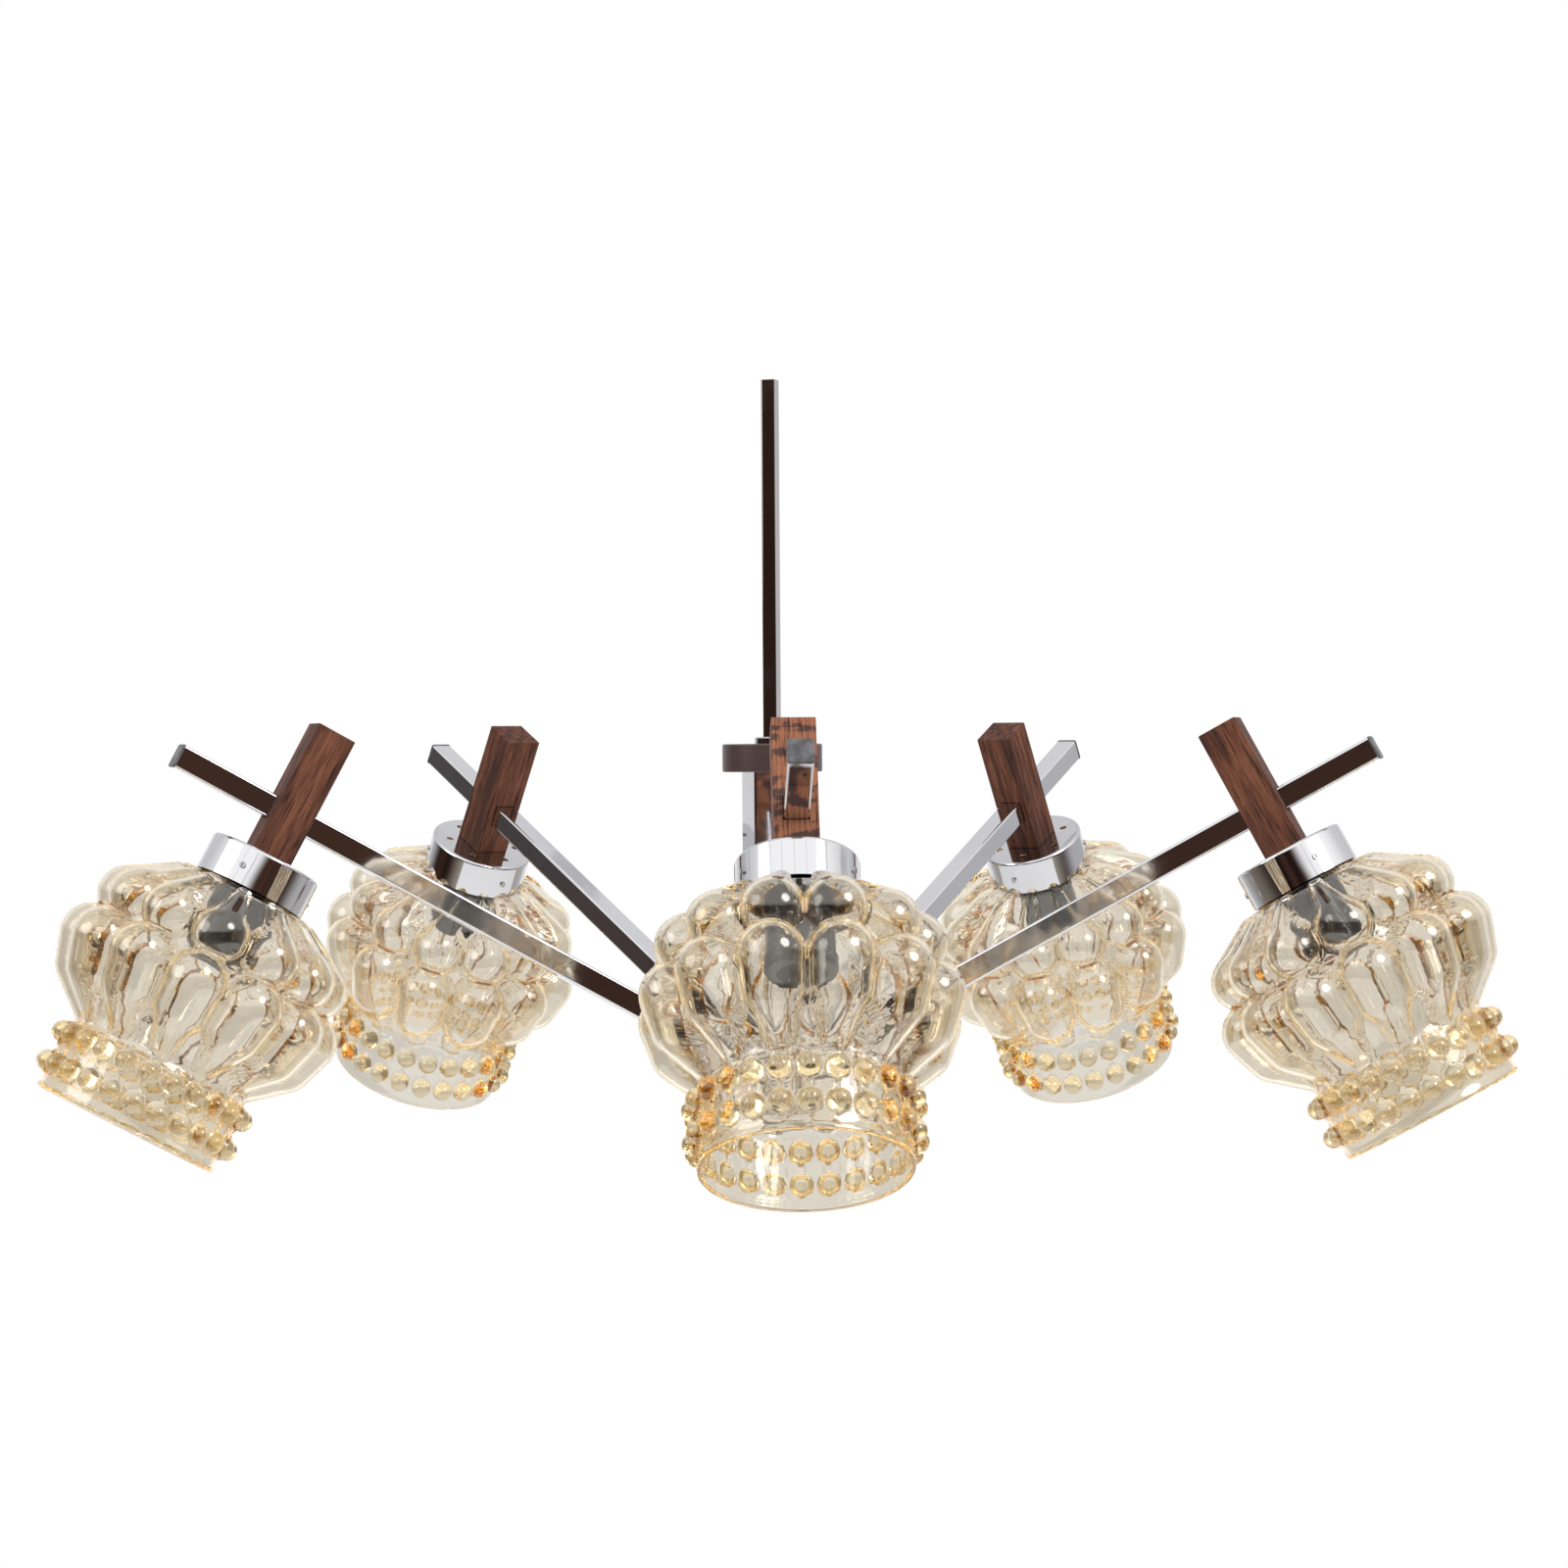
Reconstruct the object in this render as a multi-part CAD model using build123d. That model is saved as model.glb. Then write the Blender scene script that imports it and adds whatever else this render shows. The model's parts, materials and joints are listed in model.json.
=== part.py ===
"""Five arm hanging light: square tube arms, hardwood blocks, lustre glass shades.

Millimetres. +Z is up and the origin is the centre of the stem's top end.
Arm "f" points along -Y and the others follow at 72 degree steps.
"""
import math
import os

from build123d import *

os.makedirs("parts", exist_ok=True)

# ---- driving dimensions ---------------------------------------------------
ARM_NAMES = {"f": -90.0, "rf": -18.0, "rb": 54.0, "lb": 126.0, "lf": 198.0}
ARM_RISE = 28.7            # slope of an arm above level, degrees
BLOCK_R = 322.0            # block centre from the stem axis
BLOCK_Z = -280.3           # block centre below the stem's top end

TUBE = 15.0                # arm section, square
TUBE_WALL = 1.2
TUBE_CORNER = 1.6
ARM_OUT = 79.0             # tube end beyond the block centre
PLUG_FLANGE = 1.7          # visible thickness of the plastic end plug

BLOCK = 26.0               # hardwood block section, square
BLOCK_UP = 59.2            # block top above the arm centre line
BLOCK_DOWN = 29.6          # block bottom below the arm centre line
SLOT = 15.6                # square slot for the arm

CAP_R = 36.0               # fitter cap
CAP_H = 24.4
CAP_WALL = 1.0
VENT_R = 24.5
VENT_HOLE_R = 2.4
SCREW_Z = -43.0            # gallery screw height in the arm frame

NIPPLE_R = 5.0
NIPPLE_BORE = 3.4
WIRE_R = 2.0

HOLDER_R = 20.0            # screw lampholder
HOLDER_LEN = 68.0
SOCKET_R = 13.2
SOCKET_LEN = 24.0

GLASS = 2.4                # shade wall
NECK_R = 33.0
NECK_TOP = 34.0            # depths below the arm centre line
RIM = 218.0
LOBES = 12
BEAD_R = 6.6
BEAD_RING = 61.6
BEAD_ROWS = (181.5, 201.5)

STEM = 9.5                 # square stem tube
STEM_WALL = 1.2
STEM_TURN = -22.8
STEM_LEN = 266.0
DISC_R = 32.6
DISC_TOP = -237.0
DISC_H = 18.2
COLLAR_R = 11.5
COLLAR_H = 4.5

COLUMN_R = 20.9            # corner radius of the five sided hub tube
COLUMN_WALL = 1.5
COLUMN_END = -472.0
COLUMN_LID = 3.0
BRIDGE_Z = -430.0
WIRE_RING = 8.0
ROD_R = 3.0

RISE = math.radians(ARM_RISE)
APOTHEM = COLUMN_R * math.cos(math.radians(36))
INNER_APOTHEM = APOTHEM - COLUMN_WALL
ARM_IN = (BLOCK_R - INNER_APOTHEM) / math.cos(RISE)
COLUMN_TOP = DISC_TOP - DISC_H


def arm_frame(name):
    """Location of an arm's own frame: X outward along the tube, Z up the block."""
    turn = math.radians(ARM_NAMES[name])
    outward = Vector(math.cos(turn), math.sin(turn), 0)
    along = Vector(
        outward.X * math.cos(RISE), outward.Y * math.cos(RISE), math.sin(RISE)
    )
    up = Vector(
        -outward.X * math.sin(RISE), -outward.Y * math.sin(RISE), math.cos(RISE)
    )
    centre = Vector(outward.X * BLOCK_R, outward.Y * BLOCK_R, BLOCK_Z)
    return Plane(origin=centre, x_dir=along, z_dir=up).location


def bar(size_x, size_y, size_z, x=0.0, y=0.0, z=0.0):
    """Plain block with its centre at x, y, z."""
    return Pos(x, y, z) * Box(size_x, size_y, size_z)


def rod(radius, z_low, z_high, x=0.0, y=0.0):
    """Upright cylinder between two heights."""
    middle = (z_low + z_high) / 2
    return Pos(x, y, middle) * Cylinder(radius, z_high - z_low)


def square_tube(size, wall, corner, length):
    """Square tube standing on the origin, with rounded corners."""
    outside = RectangleRounded(size, size, corner)
    inner = size - 2 * wall
    inside = RectangleRounded(inner, inner, max(corner - wall, 0.4))
    return extrude(outside - inside, length)


def pentagon(corner_radius):
    """Five sided outline with its flats facing the arms."""
    return Rot(0, 0, -90 + 36) * RegularPolygon(corner_radius, 5)


def tapered_capsule(a, radius_a, b, radius_b):
    """Hull of two balls whose centres a and b are (radius, depth) pairs."""
    ax, az = a[0], -a[1]
    bx, bz = b[0], -b[1]
    length = math.hypot(bx - ax, bz - az)
    lean = math.asin((radius_a - radius_b) / length)
    start = (radius_a * math.cos(lean), radius_a * math.sin(lean))
    end = (radius_b * math.cos(lean), length + radius_b * math.sin(lean))
    edges = Curve() + [
        ThreePointArc(
            (0, -radius_a),
            (
                radius_a * math.cos((lean - math.pi / 2) / 2),
                radius_a * math.sin((lean - math.pi / 2) / 2),
            ),
            start,
        ),
        Line(start, end),
        ThreePointArc(
            end,
            (
                radius_b * math.cos((lean + math.pi / 2) / 2),
                length + radius_b * math.sin((lean + math.pi / 2) / 2),
            ),
            (0, length + radius_b),
        ),
        Line((0, length + radius_b), (0, -radius_a)),
    ]
    body = revolve(make_face(Plane.XZ * edges), Axis.Z)
    tilt = math.degrees(math.atan2(bx - ax, bz - az))
    return Pos(ax, 0, az) * Rot(0, tilt, 0) * body


def save(node, shape):
    """Write one node's solids to its STEP file."""
    shape.label = node
    export_step(shape, f"parts/{node}.step")


# ---- glass shade ----------------------------------------------------------
# (radius, depth) outlines of the blown body between the lobes
BODY_LINE = [
    (NECK_R, NECK_TOP), (NECK_R, 56.0), (56.0, 74.0), (67.0, 96.0),
    (67.0, 130.0), (57.0, 171.0), (60.0, 175.0),
]
UPPER_LOBE = ((43.0, 64.5), 9.0, (66.0, 89.0), 18.3)
LOWER_LOBE = ((74.0, 120.5), 19.5, (54.0, 158.0), 13.0)


def turned_body(inset, top, bottom):
    """Solid of revolution of the body with its two bead bands, drawn in by inset."""
    points = [(r - inset, -depth) for r, depth in BODY_LINE]
    points[0] = (points[0][0], -top)
    wall = 60.0 - inset
    bulge = BEAD_RING + BEAD_R - inset
    edges = [Line((0, -top), points[0]), Polyline(*points)]
    here = points[-1]
    for depth in BEAD_ROWS:
        start = (wall, -depth + BEAD_R - inset)
        end = (wall, -depth - BEAD_R + inset)
        edges.append(Line(here, start))
        edges.append(ThreePointArc(start, (bulge, -depth), end))
        here = end
    edges.append(Polyline(here, (wall, -bottom), (0, -bottom), (0, -top)))
    return revolve(make_face(Plane.XZ * (Curve() + edges)), Axis.Z)


def shade_solid(inset, top, bottom):
    """Body with a tier of drops and a tier of long lobes, all drawn in by inset."""
    pieces = []
    for i in range(LOBES):
        turn = Rot(0, 0, 360 / LOBES * (i + 0.5))
        for ball_a, radius_a, ball_b, radius_b in (UPPER_LOBE, LOWER_LOBE):
            drop = tapered_capsule(ball_a, radius_a - inset, ball_b, radius_b - inset)
            pieces.append(turn * drop)
    return turned_body(inset, top, bottom) + pieces


shade = shade_solid(0.0, NECK_TOP, RIM) - shade_solid(GLASS, NECK_TOP - 1, RIM + 1)

# ---- parts of one arm, in the arm's own frame -----------------------------
arm_len = ARM_IN + ARM_OUT
arm = Pos(-ARM_IN, 0, 0) * Rot(0, 90, 0) * square_tube(TUBE, TUBE_WALL, TUBE_CORNER, arm_len)
arm -= rod(NIPPLE_R + 0.1, -TUBE, 0)

plug_inside = TUBE - 2 * TUBE_WALL - 0.2
plug = Pos(ARM_OUT, 0, 0) * Rot(0, 90, 0) * (
    extrude(RectangleRounded(TUBE + 0.5, TUBE + 0.5, 1.8), PLUG_FLANGE)
)
plug = fillet(plug.edges().group_by(Axis.X)[-1], 0.7)
spigot = extrude(RectangleRounded(plug_inside, plug_inside, 1.0), 12)
spigot -= extrude(Rectangle(plug_inside - 3, plug_inside - 3), 11)
plug += Pos(ARM_OUT - 12, 0, 0) * Rot(0, 90, 0) * spigot

block_height = BLOCK_UP + BLOCK_DOWN
block = bar(BLOCK, BLOCK, block_height, z=(BLOCK_UP - BLOCK_DOWN) / 2)
block = chamfer(block.edges(), 0.5)
block -= bar(BLOCK + 2, SLOT, SLOT)
block -= rod(NIPPLE_R + 0.3, -BLOCK_DOWN - 1, 0)

cap_top = -BLOCK_DOWN
cap_end = cap_top - CAP_H
cap = rod(CAP_R, cap_end, cap_top)
cap = fillet(cap.edges().sort_by(Axis.Z)[-1], 2.2)
cap -= rod(CAP_R - CAP_WALL, cap_end - 1, cap_top - CAP_WALL - 0.2)
cap -= rod(NIPPLE_R + 0.1, cap_top - 5, cap_top + 1)
for i in range(6):
    cap -= Rot(0, 0, 60 * i + 12) * rod(VENT_HOLE_R, cap_top - 5, cap_top + 1, x=VENT_R)
for i in range(3):
    hole = Pos(0, 0, SCREW_Z) * Rot(0, 90, 0) * rod(2.05, CAP_R - 4, CAP_R + 2)
    cap -= Rot(0, 0, 120 * i + 60) * hole

screws = []
for i in range(3):
    screw = rod(2.0, NECK_R + 0.4, CAP_R + 1.2)
    screw -= bar(4.4, 0.8, 1.6, z=CAP_R + 1.2)
    screws.append(Rot(0, 0, 120 * i + 60) * Pos(0, 0, SCREW_Z) * Rot(0, 90, 0) * screw)

inner_floor = -TUBE / 2 + TUBE_WALL
holder_top = cap_top - CAP_WALL - 0.2
nipple = rod(NIPPLE_R, holder_top - 9, inner_floor)
nipple += bar(11.6, 11.6, 2.2, z=inner_floor + 1.1)
nipple -= rod(NIPPLE_BORE, holder_top - 10, inner_floor + 3)

holder_end = holder_top - HOLDER_LEN
holder = rod(HOLDER_R, holder_end, holder_top)
holder = fillet(holder.edges().sort_by(Axis.Z)[-1], 5.0)
holder += rod(HOLDER_R + 1.6, holder_end + 3, holder_end + 9)
holder -= rod(NIPPLE_R + 0.05, holder_top - 10, holder_top + 1)
holder -= rod(SOCKET_R, holder_end - 1, holder_end + SOCKET_LEN)
holder -= rod(3.0, holder_end, holder_top)

column_x = -(BLOCK_R - WIRE_RING) / math.cos(RISE)
knee = Vector(column_x, 0, 0)
lift = Vector(math.sin(RISE), 0, math.cos(RISE)) * (
    (BRIDGE_Z + 12) - (BLOCK_Z - (BLOCK_R - WIRE_RING) * math.tan(RISE))
)
wire_line = FilletPolyline(
    (0, 0, holder_top - 12), (0, 0, 0), (knee.X, 0, 0), (knee + lift), radius=4.9
)
wire = sweep(Plane(wire_line @ 0, z_dir=wire_line % 0) * Circle(WIRE_R), path=wire_line)

arm_parts = {
    "arm": arm,
    "arm_plug": plug,
    "block": block,
    "fitter_cap": cap,
    "gallery_screws": Compound(children=screws),
    "nipple": nipple,
    "lampholder": holder,
    "arm_wire": wire,
    "shade": shade,
}
for arm_name in ARM_NAMES:
    place = arm_frame(arm_name)
    for part_name, shape in arm_parts.items():
        save(f"{part_name}_{arm_name}", place * shape)

# ---- stem, disc and hub ---------------------------------------------------
stem_turn = Rot(0, 0, STEM_TURN)
stem = Pos(0, 0, -STEM_LEN) * square_tube(STEM, STEM_WALL, 1.0, STEM_LEN)
for turn in (0, 90):       # the pin can cross the tube either way
    stem -= Pos(0, 0, -STEM_LEN + 3.5) * Rot(0, 0, turn) * Rot(0, 90, 0) * Cylinder(1.55, 20)
save("stem", stem_turn * stem)

bush_side = STEM - 2 * STEM_WALL - 0.04
bush = extrude(RectangleRounded(bush_side, bush_side, 0.6), -12) - rod(2.5, -13, 1)
save("stem_bush", stem_turn * bush)

pin = Pos(0, 0, -STEM_LEN + 3.5) * Rot(0, 90, 0) * Cylinder(1.5, 19)
pin -= rod(2.9, -STEM_LEN - 5, -STEM_LEN + 10)
save("stem_pin", stem_turn * pin)

stem_hole = extrude(Rectangle(STEM + 0.1, STEM + 0.1), 40)
collar = rod(COLLAR_R, DISC_TOP, DISC_TOP + COLLAR_H)
collar = chamfer(collar.edges().sort_by(Axis.Z)[-1], 0.8)
collar -= stem_turn * Pos(0, 0, DISC_TOP - 10) * stem_hole
save("stem_collar", collar)

disc = rod(DISC_R, COLUMN_TOP, DISC_TOP)
disc = fillet(disc.edges().filter_by(GeomType.CIRCLE), 1.2)
disc -= stem_turn * Pos(0, 0, COLUMN_TOP - 10) * stem_hole
save("disc", disc)

inner_radius = INNER_APOTHEM / math.cos(math.radians(36))
column = Pos(0, 0, COLUMN_END) * extrude(pentagon(COLUMN_R), COLUMN_TOP - COLUMN_END)
column = fillet(column.edges().filter_by(Axis.Z), 1.5)
column -= Pos(0, 0, COLUMN_END - 1) * extrude(
    pentagon(inner_radius), COLUMN_TOP - COLUMN_END - COLUMN_LID + 1
)
column -= stem_turn * Pos(0, 0, COLUMN_TOP - 20) * stem_hole
for arm_name in ARM_NAMES:
    column -= arm_frame(arm_name) * bar(60, TUBE + 0.2, TUBE + 0.2, -ARM_IN + 18)
save("column", column)

bridge = Pos(0, 0, BRIDGE_Z) * extrude(pentagon(inner_radius - 0.05), 3)
bridge -= rod(ROD_R, BRIDGE_Z - 1, BRIDGE_Z + 5)
for arm_name, turn in ARM_NAMES.items():
    bridge -= Rot(0, 0, turn) * rod(WIRE_R + 0.4, BRIDGE_Z - 1, BRIDGE_Z + 5, x=WIRE_RING)
save("bridge", bridge)

rod_end = COLUMN_END - 13
save("tie_rod", rod(ROD_R, rod_end, BRIDGE_Z + 3))

cover = rod(23.0, COLUMN_END - 3, COLUMN_END)
cover = fillet(cover.edges().sort_by(Axis.Z)[0], 1.4)
cover += Pos(0, 0, COLUMN_END) * extrude(pentagon(inner_radius - 0.4), 3)
cover -= rod(ROD_R + 0.4, COLUMN_END - 5, COLUMN_END + 5)
save("bottom_cover", cover)

finial_top = COLUMN_END - 3.4
finial = rod(5.5, finial_top - 6, finial_top)
finial += Pos(0, 0, finial_top - 10) * Sphere(8.5)
finial -= rod(ROD_R + 0.05, rod_end - 0.5, finial_top + 1)
save("finial", finial)

connector_z = BRIDGE_Z + 12
connector = rod(13.0, connector_z, connector_z + 18)
connector = chamfer(connector.edges(), 1.0)
save("connector", connector)

supply = rod(2.4, connector_z + 18, -14)
save("supply_wire", supply)
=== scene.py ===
# %% [markdown]
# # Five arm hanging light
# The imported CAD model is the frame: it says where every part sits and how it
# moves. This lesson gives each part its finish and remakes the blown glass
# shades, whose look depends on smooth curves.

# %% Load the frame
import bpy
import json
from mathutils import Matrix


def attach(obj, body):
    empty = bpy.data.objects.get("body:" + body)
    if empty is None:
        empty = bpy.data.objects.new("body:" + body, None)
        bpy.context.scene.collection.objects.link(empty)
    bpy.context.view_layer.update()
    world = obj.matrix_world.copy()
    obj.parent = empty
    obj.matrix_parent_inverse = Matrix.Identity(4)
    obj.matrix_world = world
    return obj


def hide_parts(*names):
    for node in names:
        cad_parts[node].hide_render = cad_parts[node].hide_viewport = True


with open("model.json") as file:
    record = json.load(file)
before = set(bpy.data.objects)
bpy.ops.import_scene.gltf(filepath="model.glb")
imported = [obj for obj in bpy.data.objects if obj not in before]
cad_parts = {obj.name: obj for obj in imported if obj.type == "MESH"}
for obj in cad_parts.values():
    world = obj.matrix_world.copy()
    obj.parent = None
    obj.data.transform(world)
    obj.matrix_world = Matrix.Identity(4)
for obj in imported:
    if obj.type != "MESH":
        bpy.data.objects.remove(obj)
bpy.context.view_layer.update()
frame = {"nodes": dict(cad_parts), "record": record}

import json
import math

import bpy
from mathutils import Matrix, Vector

# %% [markdown]
# ## Where each arm is
# Each arm gets its own frame, lying along its X axis with the wood block standing
# along Z; the shade is built once in that frame and then turned into place. The
# glass joint of an arm gives its direction: it slides down the block's axis.

# %% Arm frames from the joints
ARMS = ("f", "rf", "rb", "lb", "lf")
MM = 0.001
joints = {joint["name"]: joint for joint in frame["record"]["behaviour"]["joints"]}
mounts = {mount["name"]: mount for mount in frame["record"]["mounts"]}
SOCKET_DEPTH = 98.8 * MM     # arm centre line to the lampholder's mouth


def arm_matrix(arm):
    """Place of an arm's own frame: X along the tube, Z up the block."""
    down = Vector(joints["shade_drop_" + arm]["axis"]).normalized()
    up = -down
    centre = Vector(mounts["lamp_socket_" + arm]["pos_m"]) + up * SOCKET_DEPTH
    across = Vector((-up.y, up.x, 0)).normalized()
    along = across.cross(up)
    if along.z < 0:
        along, across = -along, -across
    columns = Matrix((along, up.cross(along), up)).transposed()
    return Matrix.Translation(centre) @ columns.to_4x4()


PLACE = {arm: arm_matrix(arm) for arm in ARMS}
for arm in ARMS:
    print(arm, "block centre", [round(v, 4) for v in PLACE[arm].translation])

# %% [markdown]
# ## Shader maths in plain Python
# A shader is a graph of small sums. Writing `noise * 0.4 + 0.1` is easier to
# read than three linked boxes, so one class wraps a socket and turns the
# operators into Math nodes. Every other node comes from `Shader.node`.


# %% A socket that can be added and multiplied
class Wire:
    """One output socket; arithmetic on it makes Math nodes."""

    def __init__(self, shader, socket):
        self.shader = shader
        self.socket = socket

    def math(self, operation, *others, clamp=False):
        return self.shader.node(
            "ShaderNodeMath", {"operation": operation, "use_clamp": clamp},
            dict(enumerate((self,) + others)))

    def __add__(self, other):
        return self.math("ADD", other)

    __radd__ = __add__

    def __mul__(self, other):
        return self.math("MULTIPLY", other)

    __rmul__ = __mul__

    def __sub__(self, other):
        return self.math("SUBTRACT", other)

    def __rsub__(self, other):
        return self.shader.node(
            "ShaderNodeMath", {"operation": "SUBTRACT"}, {0: other, 1: self})

    def __truediv__(self, other):
        return self.math("DIVIDE", other)

    def __rtruediv__(self, other):
        return self.shader.node(
            "ShaderNodeMath", {"operation": "DIVIDE"}, {0: other, 1: self})

    def clamped(self):
        return self.math("MULTIPLY", 1.0, clamp=True)

    def beside(self, label):
        """Another output of the node that this one comes from."""
        return Wire(self.shader, self.socket.node.outputs[label])

    def between(self, low, high):
        """0 below low, 1 above high, with a soft step between."""
        return self.shader.node(
            "ShaderNodeMapRange", {"interpolation_type": "SMOOTHSTEP"},
            {"Value": self, "From Min": low, "From Max": high}, "Result")


# %% The graph that holds the sockets
class Shader:
    """A node tree with one method that adds any node."""

    def __init__(self, tree):
        self.tree = tree
        tree.nodes.clear()

    def node(self, kind, settings=None, values=None, out=0):
        made = self.tree.nodes.new(kind)
        for key, value in (settings or {}).items():
            if key == "stops":
                self.set_stops(made, value)
            else:
                setattr(made, key, value)
        for key, value in (values or {}).items():
            socket = self.find(made.inputs, key)
            if isinstance(value, Wire):
                self.tree.links.new(value.socket, socket)
            else:
                socket.default_value = value
        if not made.outputs:
            return None
        return Wire(self, self.find(made.outputs, out))

    @staticmethod
    def find(sockets, key):
        if isinstance(key, int):
            return sockets[key]
        same = [socket for socket in sockets if socket.name == key and socket.enabled]
        return same[0]

    @staticmethod
    def set_stops(made, stops):
        elements = made.color_ramp.elements
        while len(elements) < len(stops):
            elements.new(0.5)
        for element, (place, colour) in zip(elements, stops):
            element.position = place
            element.color = (*colour, 1.0)

    def mix(self, mask, first, second):
        """Colour mix; plain colours are given as 3 numbers."""
        def full(value):
            return value if isinstance(value, Wire) else (*value, 1.0)
        made = self.tree.nodes.new("ShaderNodeMix")
        made.data_type = "RGBA"
        for socket, value in ((made.inputs[0], mask), (made.inputs[6], full(first)),
                              (made.inputs[7], full(second))):
            if isinstance(value, Wire):
                self.tree.links.new(value.socket, socket)
            else:
                socket.default_value = value
        return Wire(self, made.outputs[2])

    def place(self, scale=(1, 1, 1), turn=(0, 0, 0), move=(0, 0, 0)):
        """Object coordinates, moved, turned and stretched."""
        here = self.node("ShaderNodeTexCoord", out="Object")
        return self.node("ShaderNodeMapping", {"vector_type": "POINT"},
                         {"Vector": here, "Location": move, "Rotation": turn, "Scale": scale})

    def noise(self, where, scale, detail=3.0, rough=0.5, twist=0.0):
        return self.node("ShaderNodeTexNoise", {}, {
            "Vector": where, "Scale": scale, "Detail": detail,
            "Roughness": rough, "Distortion": twist})

    def bump(self, height, strength, distance, under=None):
        values = {"Height": height, "Strength": strength, "Distance": distance}
        if under:
            values["Normal"] = under
        return self.node("ShaderNodeBump", {}, values)

    def surface(self, **values):
        """A Principled surface; underscores stand for spaces."""
        made = {key.replace("_", " "): value for key, value in values.items()}
        return self.node("ShaderNodeBsdfPrincipled", {}, made)

    def show(self, surface):
        self.node("ShaderNodeOutputMaterial", {}, {"Surface": surface})


def new_finish(name):
    """An empty material and its shader."""
    material = bpy.data.materials.new(name)
    material.use_nodes = True
    return material, Shader(material.node_tree)


# %% [markdown]
# ## Polished chrome
# Plated tube is a mirror with faint life in it: a slow ripple from the
# polishing wheel, and patches where handling has left a thin haze. The haze
# goes into roughness and the ripple into a very shallow bump.


# %% Chrome
def chrome_finish(name, tint, haze=0.05, ripple=0.12, grain=140.0):
    material, shader = new_finish(name)
    here = shader.place()
    cloud = shader.noise(here, 22.0, 4.0, 0.6).between(0.45, 0.75)
    fine = shader.noise(here, grain * 6, 2.0)
    rough = cloud * haze + fine * 0.03 + 0.025
    wave = shader.noise(here, 38.0, 1.0)
    dirt = shader.noise(here, 9.0, 3.0).between(0.35, 0.8)
    colour = shader.mix(dirt, tint, tuple(0.93 * c for c in tint))
    shader.show(shader.surface(
        Base_Color=colour, Metallic=1.0, Roughness=rough,
        Normal=shader.bump(wave, ripple, 0.0006)))
    return material


chrome_tube = chrome_finish("polished chrome tube", (0.76, 0.76, 0.775))
stem_chrome = chrome_finish("worn chrome stem", (0.70, 0.68, 0.67), 0.10, 0.10)
chrome_cap = chrome_finish("polished chrome cap", (0.70, 0.70, 0.715), 0.08, 0.20)
# the lampholder shell is polished chrome; its near-black colour is painted dark reflection of the
# dim room round it
holder_chrome_painted_dark = chrome_finish("black nickel lampholder shell", (0.032, 0.033, 0.038), 0.02)
print("chrome finishes made")

# %% [markdown]
# ## Oiled rosewood
# The blocks are cut along the grain, so the figure runs up each block: broad
# dark bands wander through red brown wood, and short open pores lie along the
# grain. The pattern is solid, so the end grain comes out right by itself. Each
# arm leans its own way, so each block gets its own turn of the same recipe.


# %% Rosewood
def rosewood_finish(arm):
    material, shader = new_finish("rosewood " + arm)
    inverse = PLACE[arm].inverted()
    turn = inverse.to_euler()
    shift = inverse.translation
    grown = shader.place(turn=turn, move=shift + Vector((0.37 * ARMS.index(arm), 0, 0)))
    along = shader.node("ShaderNodeMapping", {}, {"Vector": grown, "Scale": (1.0, 1.0, 0.10)})
    bend = shader.noise(along, 40.0, 3.0, 0.55)
    rings = shader.noise(along, 210.0, 4.0, 0.66, 0.5)
    streak = shader.node("ShaderNodeMapping", {}, {"Vector": grown, "Scale": (1.0, 1.0, 0.05)})
    fibre = shader.noise(streak, 520.0, 3.0, 0.7)
    pores = shader.noise(streak, 900.0, 2.0, 0.5).between(0.56, 0.66)
    band = (rings + bend * 0.6 - 0.80).between(-0.20, 0.20)
    colour = shader.node("ShaderNodeValToRGB", {"stops": [
        (0.0, (0.050, 0.016, 0.009)), (0.30, (0.098, 0.031, 0.015)),
        (0.62, (0.150, 0.049, 0.023)), (1.0, (0.205, 0.074, 0.036))]}, {"Fac": band})
    if arm == "f":
        # the front block shows flame figure: dark tongues lie across the grain
        slant = shader.node("ShaderNodeMapping", {}, {
            "Vector": grown, "Rotation": (0.6, 0, 0), "Scale": (1.0, 0.55, 1.35)})
        tongues = shader.noise(slant, 68.0, 4.0, 0.6, 0.7)
        flame = (tongues + (fibre - 0.5) * 0.22).between(0.47, 0.57)
        colour = shader.mix(flame * 0.92, (0.33, 0.125, 0.062), (0.060, 0.032, 0.030))
    colour = shader.mix(fibre.between(0.35, 0.75) * 0.45, colour, (0.045, 0.016, 0.011))
    colour = shader.mix(pores * 0.75, colour, (0.016, 0.007, 0.006))
    rough = fibre * 0.2 + pores * 0.2 + 0.5
    skin = shader.bump(fibre - pores * 0.9, 0.35, 0.0003)
    shader.show(shader.surface(
        Base_Color=colour, Roughness=rough, IOR=1.33, Normal=skin))
    return material


rosewood = {arm: rosewood_finish(arm) for arm in ARMS}
print("rosewood cut for", len(rosewood), "blocks")

# %% [markdown]
# ## Lustre glass
# The shades are blown glass with a thin champagne lustre. Clear glass alone
# would vanish against a pale wall, so a little tinted mirror is mixed over it,
# more of it at the beads and the rim, which the mesh marks in an attribute
# called gold. Absorption inside the wall colours the thick places by itself.


# %% Lustre glass
MELT_COLOUR = (0.82, 0.69, 0.34, 1.0)
MELT_DENSITY = 80.0


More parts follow.
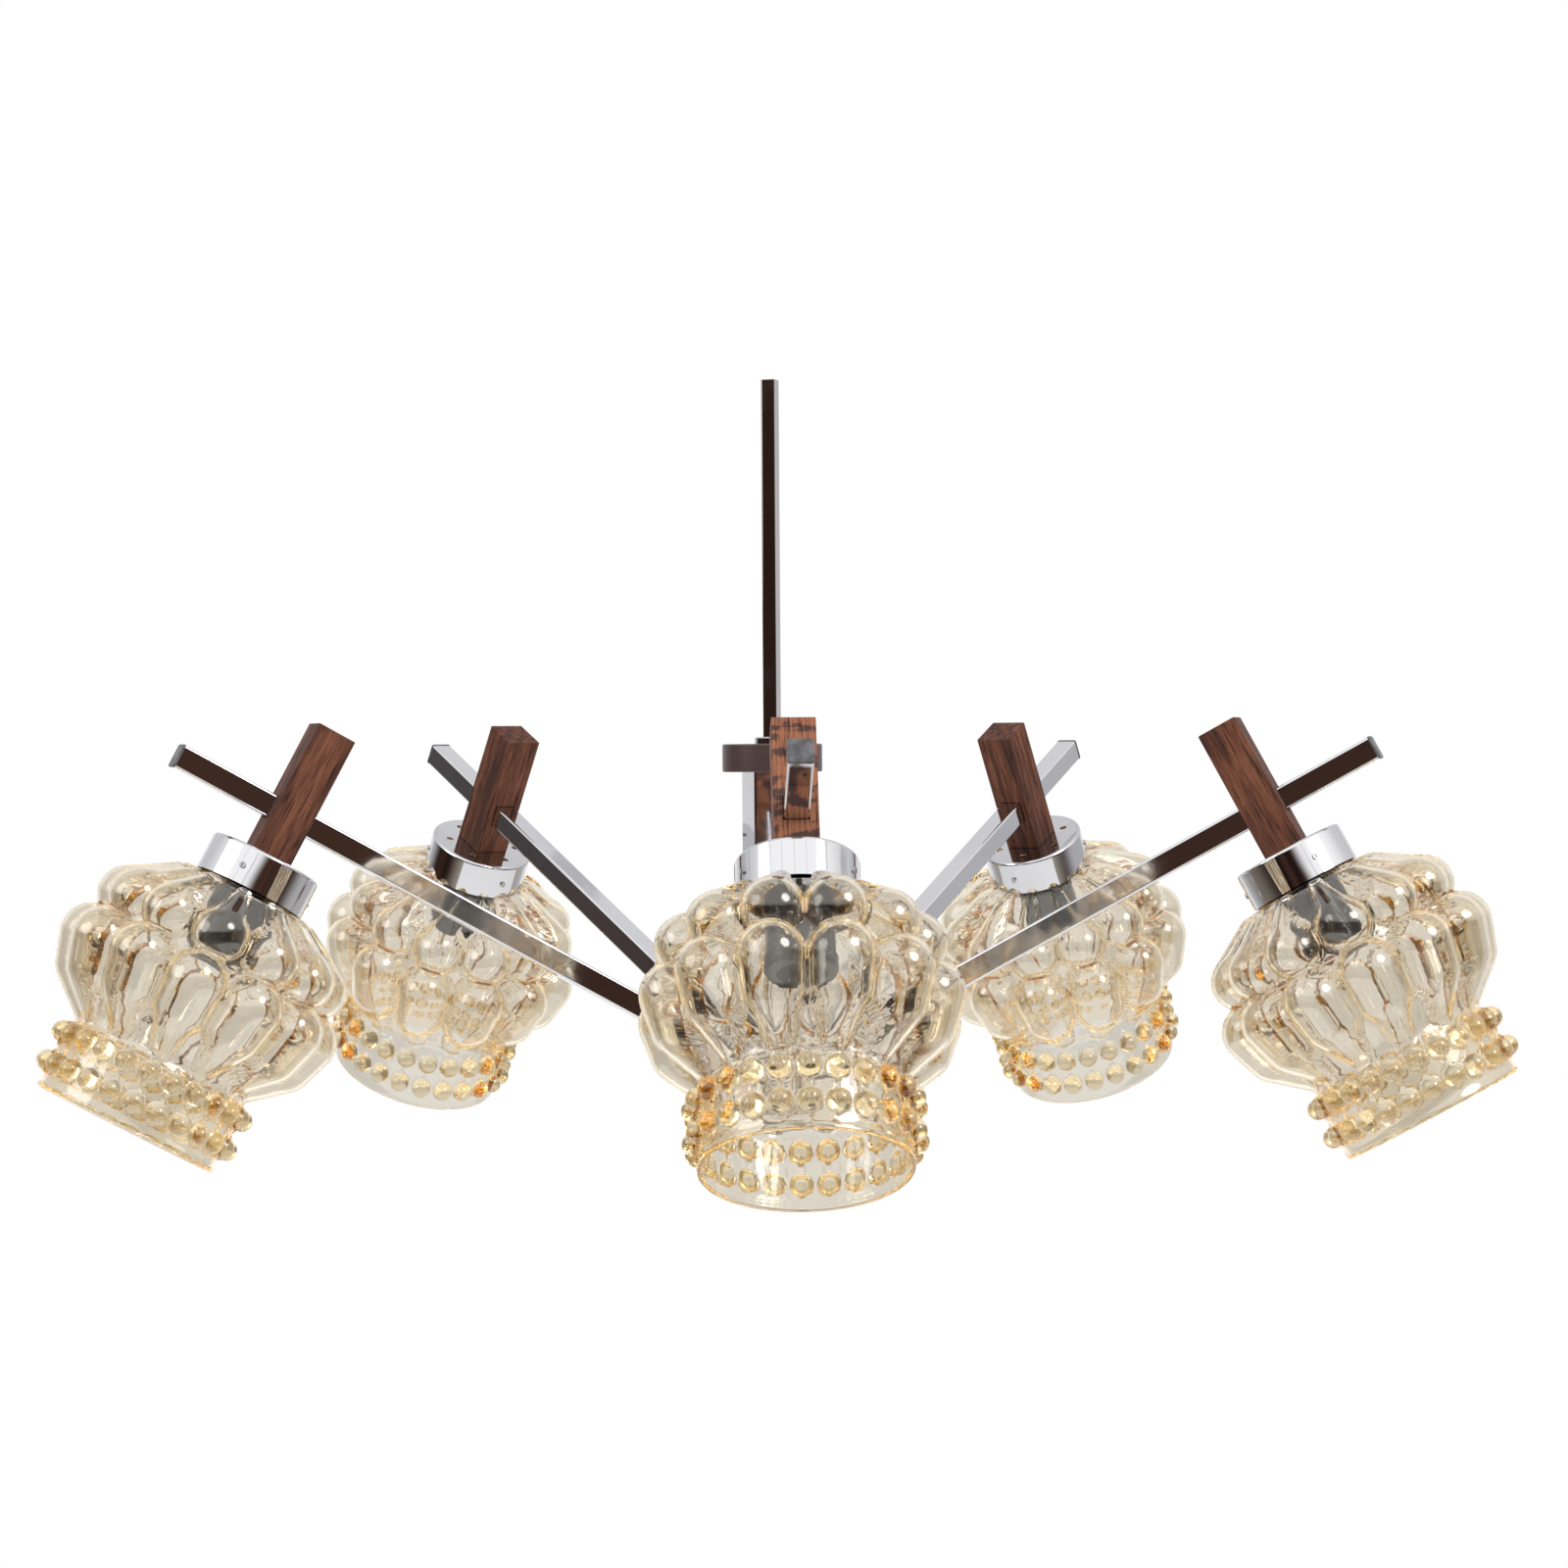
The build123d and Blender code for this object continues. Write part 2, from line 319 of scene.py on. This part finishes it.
def lustre_finish():
    material, shader = new_finish("champagne lustre glass")
    here = shader.place()
    gold = shader.node("ShaderNodeAttribute", {"attribute_name": "gold"}, out="Fac")
    swirl = shader.noise(here, 26.0, 3.0, 0.55, 1.2)
    seeds = shader.noise(here, 420.0, 1.0).between(0.72, 0.77)
    tone = (gold + swirl.between(0.45, 0.8) * 0.15).clamped()
    tint = shader.mix(tone, (0.985, 0.97, 0.95), (0.98, 0.93, 0.82))
    ripple = shader.bump(shader.noise(here, 48.0, 2.0, 0.5, 0.4), 0.10, 0.0012)
    ripple = shader.bump(seeds, 0.25, 0.0003, ripple)
    clear = shader.surface(
        Base_Color=tint, Roughness=0.004, IOR=1.5, Transmission_Weight=1.0, Normal=ripple)
    sheen = shader.surface(
        Base_Color=shader.mix(tone, (0.93, 0.88, 0.80), (0.90, 0.76, 0.50)),
        Metallic=1.0, Roughness=0.02, Normal=ripple)
    share = tone * 0.05 + 0.04
    both = shader.node("ShaderNodeMixShader", {}, {0: share, 1: clear, 2: sheen})
    # the melt itself is pale amber: long ways through it, at edges, turn gold
    melt = shader.node("ShaderNodeVolumeAbsorption", {}, {
        "Color": MELT_COLOUR, "Density": MELT_DENSITY})
    shader.node("ShaderNodeOutputMaterial", {}, {"Surface": both, "Volume": melt})
    return material


lustre = lustre_finish()
print("lustre glass made")

# %% [markdown]
# ## Smaller finishes
# Enamel on the disc, moulded plastic in the tube ends, brass, zinc plated
# steel, flex and the terminal block. Each has its own grain: an eggshell skin
# on the enamel, a fine spark texture on the plastic, turning lines on brass.


# %% Paint and plastic
def moulded_finish(name, light, dark, rough, grain, depth, coat=0.0, cloud_scale=30.0):
    material, shader = new_finish(name)
    here = shader.place()
    cloud = shader.noise(here, cloud_scale, 4.0, 0.6)
    skin = shader.noise(here, grain, 3.0, 0.6)
    dust = shader.noise(here, 260.0, 2.0).between(0.62, 0.72)
    colour = shader.mix(cloud.between(0.3, 0.75), dark, light)
    colour = shader.mix(dust * 0.12, colour, tuple(min(1.0, c * 2.2 + 0.03) for c in light))
    shader.show(shader.surface(
        Base_Color=colour, Roughness=skin * 0.16 + rough, Coat_Weight=coat,
        Coat_Roughness=0.2, Normal=shader.bump(skin, 0.3, depth)))
    return material


brown_enamel = moulded_finish(
    "satin brown enamel", (0.062, 0.034, 0.031), (0.046, 0.024, 0.022), 0.30, 700.0, 0.0002, 0.2)
dark_plastic = moulded_finish(
    "dark moulded plug", (0.150, 0.148, 0.160), (0.050, 0.050, 0.056), 0.36, 900.0, 0.0002,
    cloud_scale=160.0)
pale_plastic = moulded_finish(
    "terminal block", (0.72, 0.70, 0.64), (0.62, 0.60, 0.54), 0.4, 800.0, 0.0002)
flex_sheath = moulded_finish(
    "flex sheath", (0.55, 0.54, 0.50), (0.45, 0.44, 0.41), 0.38, 600.0, 0.0002)


# %% Brass and steel
def turned_finish(name, light, dark, rough):
    material, shader = new_finish(name)
    here = shader.place()
    stain = shader.noise(here, 60.0, 4.0, 0.65, 0.5).between(0.4, 0.7)
    lines = shader.noise(shader.place(scale=(40.0, 40.0, 900.0)), 1.0, 2.0)
    colour = shader.mix(stain, light, dark)
    shader.show(shader.surface(
        Base_Color=colour, Metallic=1.0, Roughness=stain * 0.15 + lines * 0.1 + rough,
        Normal=shader.bump(lines, 0.25, 0.0002)))
    return material


brass = turned_finish("turned brass", (0.78, 0.58, 0.27), (0.55, 0.38, 0.17), 0.16)
steel = turned_finish("zinc plated steel", (0.62, 0.62, 0.62), (0.48, 0.48, 0.50), 0.22)
print("small finishes made")

# %% [markdown]
# ## Turned shapes from one tree
# The shades and the round floor are turned about an axis. One Geometry Nodes
# tree does it: the input is a line of points drawn as (radius, 0, height), and
# the tree lays a grid whose rows copy those points and whose columns go round.
# For the glass the same tree also swells the radius where the lobes and beads
# are; their centre and size on each row come as attributes of the line, so the
# tree is only a few sums. Drops and lobes stand half a step off the arm's line.


# %% Node helpers for geometry
class Garden(Shader):
    """Geometry tree builder with named inputs."""

    def __init__(self, name, inputs):
        tree = bpy.data.node_groups.new(name, "GeometryNodeTree")
        super().__init__(tree)
        tree.interface.new_socket("Geometry", in_out="INPUT", socket_type="NodeSocketGeometry")
        tree.interface.new_socket("Geometry", in_out="OUTPUT", socket_type="NodeSocketGeometry")
        for label, kind in inputs:
            tree.interface.new_socket(label, in_out="INPUT", socket_type="NodeSocket" + kind)
        self.start = tree.nodes.new("NodeGroupInput")
        self.end = tree.nodes.new("NodeGroupOutput")

    def given(self, label):
        return Wire(self, self.start.outputs[label])

    def finish(self, geometry):
        solid = self.node("GeometryNodeRealizeInstances", {}, {0: geometry})
        painted = self.node("GeometryNodeSetMaterial", {}, {
            "Geometry": solid, "Material": self.given("Material")})
        self.tree.links.new(painted.socket, self.end.inputs[0])
        return self.tree

    def row_value(self, kind, value, row):
        return self.node("GeometryNodeSampleIndex", {"data_type": kind}, {
            "Geometry": self.given("Geometry"), "Value": value, "Index": row}, "Value")

    def named(self, label):
        return self.node("GeometryNodeInputNamedAttribute", {"data_type": "FLOAT"},
                         {"Name": label}, "Attribute")


def turning_tree():
    g = Garden("turned shape", [
        ("Rows", "Int"), ("Columns", "Int"), ("Lobes", "Int"), ("Beads", "Int"),
        ("Blend", "Float"), ("Material", "Material")])
    columns = g.given("Columns")
    grid = g.node("GeometryNodeMeshGrid", {}, {
        "Size X": 1.0, "Size Y": 1.0, "Vertices X": g.given("Rows"),
        "Vertices Y": columns + 1}, "Mesh")
    index = g.node("GeometryNodeInputIndex")
    row = (index / (columns + 1)).math("FLOOR")
    column = index - row * (columns + 1)
    angle = column / columns * math.tau
    line = g.node("ShaderNodeSeparateXYZ", {}, {
        0: g.row_value("FLOAT_VECTOR", g.node("GeometryNodeInputPosition"), row)}, "X")
    height = line.beside("Z")
    # a swelling of the wall: a ball of that ring and size, cut by the ray
    radius = line
    swell = line * 0.0
    for centre, size, count in (("drop_ring", "drop_size", "Lobes"),
                                ("lobe_ring", "lobe_size", "Lobes"),
                                ("bead_ring", "bead_size", "Beads")):
        ring = g.row_value("FLOAT", g.named(centre), row)
        ball = g.row_value("FLOAT", g.named(size), row)
        step = math.tau / g.given(count)
        phase = 0.0 if centre == "bead_ring" else 0.5
        away = (angle + step * phase).math("WRAP", step * 0.5, step * -0.5)
        side = ring * away.math("SINE")
        reach = (ball * ball - side * side).math("MAXIMUM", 0.0).math("SQRT")
        here = ring * away.math("COSINE") + reach
        hit = (ball * ball - side * side).math("GREATER_THAN", 0.0)
        out = here * hit
        soft = g.given("Blend")
        radius = radius.math("SMOOTH_MAX", out, soft)
        if centre == "bead_ring":
            swell = hit * (ball * 400.0).math("MINIMUM", 1.0)
    at = g.node("ShaderNodeCombineXYZ", {}, {
        "X": radius * angle.math("COSINE"), "Y": radius * angle.math("SINE"), "Z": height})
    moved = g.node("GeometryNodeSetPosition", {}, {"Geometry": grid, "Position": at})
    gold = g.row_value("FLOAT", g.named("gold"), row) + swell * 0.3
    marked = g.node("GeometryNodeStoreNamedAttribute", {"data_type": "FLOAT"}, {
        "Geometry": moved, "Name": "gold", "Value": gold})
    closed = g.node("GeometryNodeMergeByDistance", {}, {
        "Geometry": marked, "Distance": 0.00002})
    smooth = g.node("GeometryNodeSetShadeSmooth", {}, {"Geometry": closed})
    return g.finish(smooth)


TURNING = turning_tree()
print("turning tree has", len(TURNING.nodes), "nodes")


# %% Running a tree into a plain mesh
def run_tree(name, tree, source, **inputs):
    """Feeds a mesh through a tree and returns the result as a new mesh."""
    carrier = bpy.data.objects.new(name + " carrier", source)
    bpy.context.scene.collection.objects.link(carrier)
    modifier = carrier.modifiers.new("tree", "NODES")
    modifier.node_group = tree
    for item in tree.interface.items_tree:
        key = item.name.replace(" ", "_")
        if getattr(item, "in_out", "") == "INPUT" and key in inputs:
            modifier[item.identifier] = inputs[key]
    graph = bpy.context.evaluated_depsgraph_get()
    result = bpy.data.meshes.new_from_object(carrier.evaluated_get(graph))
    bpy.data.objects.remove(carrier)
    result.name = name
    return result


def add_piece(name, mesh, body, node, matrix):
    """Puts a copy of a mesh in place of a CAD node, riding on a body."""
    placed = mesh.copy()
    placed.transform(matrix)
    piece = bpy.data.objects.new(name, placed)
    bpy.context.scene.collection.objects.link(piece)
    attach(piece, body)
    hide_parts(node)


LOBES = 12
BEADS = 24
ROW_MARKS = ("drop_ring", "drop_size", "lobe_ring", "lobe_size", "bead_ring", "bead_size", "gold")


def outline_mesh(name, rows):
    """A line of points (radius, height, marks) in millimetres as a mesh."""
    mesh = bpy.data.meshes.new(name + " outline")
    mesh.from_pydata([(row[0] * MM, 0, row[1] * MM) for row in rows],
                     [(i, i + 1) for i in range(len(rows) - 1)], [])
    for mark in ROW_MARKS:
        layer = mesh.attributes.new(mark, "FLOAT", "POINT")
        scale = 1.0 if mark == "gold" else MM
        values = [(row[2].get(mark, 0.0) if len(row) > 2 else 0.0) * scale for row in rows]
        layer.data.foreach_set("value", values)
    return mesh


def turned(name, rows, columns, material, blend=0.0):
    source = outline_mesh(name, rows)
    return run_tree(name, TURNING, source, Rows=len(rows), Columns=columns,
                    Lobes=LOBES, Beads=BEADS, Blend=blend, Material=material)


# %% [markdown]
# ## The blown shade
# The wall is a body of revolution between the lobes, a ring of twelve drops, a
# ring of twelve long lobes and two rows of beads. For every row the ring and
# size of each ball are worked out from the chains of balls below, and rows are
# set close together where a ball begins and ends, because the wall turns
# fastest there. The line of rows runs down the outer skin, round the lip and
# up the inner skin. The inner one has the drops and lobes but no beads: those
# are solid lumps pressed on the outside, and their thickness makes them amber.

# %% Shade sizes, in millimetres
RIM_DEPTH = 218.0
BODY_LINE = [
    (33.0, 34.0), (33.0, 55.0), (41.0, 59.0), (57.0, 72.0), (66.0, 88.0),
    (69.0, 104.0), (69.5, 120.0), (65.5, 142.0), (57.5, 164.0), (56.5, 170.0),
    (58.5, 174.0), (60.0, 180.0), (60.0, 205.0), (59.2, 211.0), (60.0, RIM_DEPTH)]
DROP_CHAIN = [((43.0, 64.5), 9.0), ((66.0, 89.0), 18.3)]
LOBE_CHAIN = [((74.0, 120.5), 19.5), ((69.0, 138.0), 18.4), ((50.5, 163.0), 11.0)]
BEAD_RING = 61.6
BEAD_SIZE = 6.6
BEAD_DEPTHS = (181.5, 201.5)
WALL = 2.3


def body_radius(depth):
    for (r0, d0), (r1, d1) in zip(BODY_LINE, BODY_LINE[1:]):
        if d0 <= depth <= d1:
            t = (depth - d0) / (d1 - d0)
            return r0 + (r1 - r0) * t
    return BODY_LINE[-1][0]


def chain_section(chain, depth, inset=0.0):
    """Widest circle that a level cut makes through a chain of balls."""
    best = (0.0, 0.0)
    for (a, size_a), (b, size_b) in zip(chain, chain[1:]):
        for step in range(33):
            t = step / 32
            ring = a[0] + (b[0] - a[0]) * t
            middle = a[1] + (b[1] - a[1]) * t
            size = size_a + (size_b - size_a) * t - inset
            gap = size * size - (depth - middle) ** 2
            if gap > 0 and ring + math.sqrt(gap) > sum(best):
                best = (ring, math.sqrt(gap))
    return best


def shade_depths(beaded):
    """Row depths: even along the body, close where balls begin and end."""
    depths = {34.0, 45.0, 54.0}
    step = 1.5 if beaded else 2.1
    depths.update(55.0 + step * i for i in range(int(117.0 / step)))
    if beaded:
        for start, end, size in ((56.0, 58.5, 4), (101.0, 106.0, 5)):
            depths.update(start + (end - start) * i / size for i in range(size + 1))
        for middle in BEAD_DEPTHS:
            for i in range(15):
                swing = math.sin(math.pi * (i / 14 - 0.5))
                depths.add(round(middle + BEAD_SIZE * swing, 3))
    depths.update((173.0, 175.0, 191.5, 209.5, 211.0, 214.0, 217.0))
    return sorted(depths)


# %% Rows of the shade
def shade_row(depth, inset):
    """One level of the outer skin, or of the inner one when inset is the wall."""
    drop = chain_section(DROP_CHAIN, depth, inset)
    lobe = chain_section(LOBE_CHAIN, depth, inset)
    marks = {"drop_ring": drop[0], "drop_size": drop[1],
             "lobe_ring": lobe[0], "lobe_size": lobe[1], "bead_ring": BEAD_RING}
    if not inset:
        for middle in BEAD_DEPTHS:
            gap = BEAD_SIZE ** 2 - (depth - middle) ** 2
            if gap > 0:
                marks["bead_size"] = math.sqrt(gap)
    marks["gold"] = 0.3 if depth > 172 else 0.05
    return (body_radius(depth) - inset, -depth, marks)


lip = {"gold": 0.5}
outer_rows = [shade_row(depth, 0.0) for depth in shade_depths(True)]
inner_rows = [shade_row(depth, WALL) for depth in reversed(shade_depths(False))]
lip_rows = [
    (58.8 + 1.2 * math.cos(math.radians(30 * i)),
     -(RIM_DEPTH - 1.2 + 1.2 * math.sin(math.radians(30 * i))), lip) for i in range(7)]
shade_rows = outer_rows[:-1] + lip_rows + inner_rows[1:] + outer_rows[:1]
shade_wall = turned("shade wall", shade_rows, 384, lustre, blend=2.5 * MM)


def outward(mesh):
    """True if the faces look away from the mesh's inside."""
    volume = 0.0
    for polygon in mesh.polygons:
        volume += polygon.center.dot(polygon.normal) * polygon.area
    return volume > 0


if not outward(shade_wall):
    shade_wall.flip_normals()
print("shade wall:", len(shade_wall.polygons), "faces in", len(shade_rows), "rows")

# %% A shade on each arm
for arm in ARMS:
    add_piece("shade_glass_" + arm, shade_wall, "glass_" + arm,
              "shade_" + arm, PLACE[arm])

# %% [markdown]
# ## Finishes for the parts that keep their CAD shape


# %% Paint CAD nodes
def paint(node, material):
    mesh_object = frame["nodes"][node]
    mesh_object.data.materials.clear()
    mesh_object.data.materials.append(material)


for arm in ARMS:
    paint("block_" + arm, rosewood[arm])
    paint("arm_" + arm, chrome_tube)
    paint("arm_plug_" + arm, dark_plastic)
    paint("fitter_cap_" + arm, chrome_cap)
    paint("gallery_screws_" + arm, steel)
    paint("nipple_" + arm, brass)
    paint("lampholder_" + arm, holder_chrome_painted_dark)
    paint("arm_wire_" + arm, flex_sheath)
for node, material in (
        ("stem", stem_chrome), ("stem_bush", brass), ("stem_pin", steel),
        ("stem_collar", chrome_cap), ("disc", brown_enamel), ("column", chrome_tube),
        ("bridge", steel), ("tie_rod", steel), ("bottom_cover", chrome_cap),
        ("finial", chrome_cap), ("connector", pale_plastic), ("supply_wire", flex_sheath)):
    paint(node, material)
print("CAD parts painted")

# %% [markdown]
# ## Camera, light and floor
# The camera stands level with the light, far off with a long lens, which keeps
# the five arms nearly the same size. Polished metal shows its surroundings, so
# the world has a studio in it for reflections: bright overhead, a dim wall
# behind the camera, and pale sides. Everything else sees plain white.

# %% Camera
CAMERA_TURN = math.radians(-2.47)
CAMERA_RISE = math.radians(0.44)
CAMERA_ROLL = math.radians(-0.40)
CAMERA_DISTANCE = 2.617
LENS_MM = 92.16
SIDE_STEP = 0.0075
target = Vector((0, 0, -0.2632))
forward = Vector((-math.sin(CAMERA_TURN), math.cos(CAMERA_TURN), 0))
level_right = Vector((forward.y, -forward.x, 0))
forward = (forward * math.cos(CAMERA_RISE) - Vector((0, 0, math.sin(CAMERA_RISE)))).normalized()
level_up = level_right.cross(forward)
spin, lean = math.cos(CAMERA_ROLL), math.sin(CAMERA_ROLL)
right = level_right * spin + level_up * lean
up = level_up * spin - level_right * lean
eye = target + level_right * SIDE_STEP - forward * CAMERA_DISTANCE
lens = bpy.data.cameras.new("camera")
lens.sensor_width = 36.0
lens.lens = LENS_MM
camera = bpy.data.objects.new("camera", lens)
camera.matrix_world = Matrix.Translation(eye) @ Matrix((right, up, -forward)).transposed().to_4x4()
bpy.context.scene.collection.objects.link(camera)
bpy.context.scene.camera = camera
# light crosses many glass walls here, so paths may be long
bpy.context.scene.cycles.max_bounces = 24
bpy.context.scene.cycles.transmission_bounces = 24
bpy.context.scene.cycles.glossy_bounces = 24
print("camera", [round(v, 3) for v in eye], "lens", round(lens.lens, 1))


# %% Studio for reflections
WARM_DARK = (0.016, 0.007, 0.006)
WARM_BROWN = (0.070, 0.036, 0.025)
SIDE_GREY = (0.54, 0.54, 0.56)
FLOOR_TAN = (0.50, 0.45, 0.38)
FRONT_SKY = (1.25, 1.25, 1.25)
BACK_SKY = (0.80, 0.80, 0.82)
BAR_GREY = (0.12, 0.12, 0.13)
GLASS_GREY = (0.70, 0.70, 0.70)
GLASS_BACKDROP = (0.74, 0.74, 0.74)
WHITE = (1.0, 1.0, 1.0)


def studio_world():
    world = bpy.data.worlds.new("studio")
    bpy.context.scene.world = world
    world.use_nodes = True
    shader = Shader(world.node_tree)
    look = shader.node("ShaderNodeTexCoord", out="Generated")
    x = shader.node("ShaderNodeSeparateXYZ", {}, {0: look}, "X")
    y = x.beside("Y")
    z = x.beside("Z")
    overhead = z.between(0.12, 0.32)
    floor = (z * -1.0).between(0.28, 0.66)
    side = (y + x * 0.35).between(-0.12, 0.5)
    backdrop = y.between(0.66, 0.92)
    bars_x = (x * 3.0 + 0.3).math("FRACT").between(0.95, 0.965)
    bars_z = (z * 3.0).math("FRACT").between(0.94, 0.955)
    bars = bars_x.math("MAXIMUM", bars_z) * overhead
    stripes = shader.noise(look, 3.0, 3.0).between(0.35, 0.7)
    wall = shader.mix(stripes, WARM_DARK, WARM_BROWN)
    room = shader.mix(side, wall, SIDE_GREY)
    room = shader.mix(backdrop, room, WHITE)
    room = shader.mix(floor, room, FLOOR_TAN)
    above = shader.mix(y.between(-0.4, 0.4), FRONT_SKY, BACK_SKY)
    room = shader.mix(overhead, room, above)
    room = shader.mix(bars * 0.35, room, BAR_GREY)
    path = shader.node("ShaderNodeLightPath", out="Is Camera Ray")
    through = path.beside("Is Transmission Ray")
    plain = path.math("MAXIMUM", path.beside("Is Diffuse Ray"))
    # what is seen through glass is a greyer room with a softer backdrop
    seen = shader.mix(through * 0.35, room, GLASS_GREY)
    seen = shader.mix(through * backdrop, seen, GLASS_BACKDROP)
    colour = shader.mix(plain, seen, WHITE)
    shade = shader.node("ShaderNodeBackground", {}, {"Color": colour, "Strength": 1.0})
    shader.node("ShaderNodeOutputWorld", {}, {"Surface": shade})


studio_world()


# %% Soft lights and floor
def soft_light(name, place, size, power, colour=(1, 1, 1)):
    lamp = bpy.data.lights.new(name, "AREA")
    lamp.shape = "DISK"
    lamp.size = size
    lamp.energy = power
    lamp.color = colour
    lamp_object = bpy.data.objects.new(name, lamp)
    spot = Vector(place)
    lamp_object.location = spot
    lamp_object.rotation_euler = (target - spot).to_track_quat("-Z", "Y").to_euler()
    bpy.context.scene.collection.objects.link(lamp_object)


soft_light("key light", (1.6, -1.6, 1.1), 1.2, 22)
soft_light("fill light", (-2.0, -0.9, 0.6), 1.4, 9)

FLOOR_RADIUS = 1600.0
FLOOR_HEIGHT = -1350.0
floor_finish, floor_shader = new_finish("pale floor")
floor_tone = floor_shader.noise(floor_shader.place(), 3.0, 3.0)
floor_shader.show(floor_shader.surface(
    Base_Color=floor_shader.mix(floor_tone, (0.84, 0.84, 0.84), (0.88, 0.88, 0.88)),
    Roughness=0.8))
floor_mesh = turned("floor", [(0.0, 0.0), (FLOOR_RADIUS, 0.0)], 96, floor_finish)
floor_mesh.transform(Matrix.Translation((0, 0, FLOOR_HEIGHT * MM)))
floor = bpy.data.objects.new("floor", floor_mesh)
bpy.context.scene.collection.objects.link(floor)
bpy.context.scene.view_settings.view_transform = "Standard"
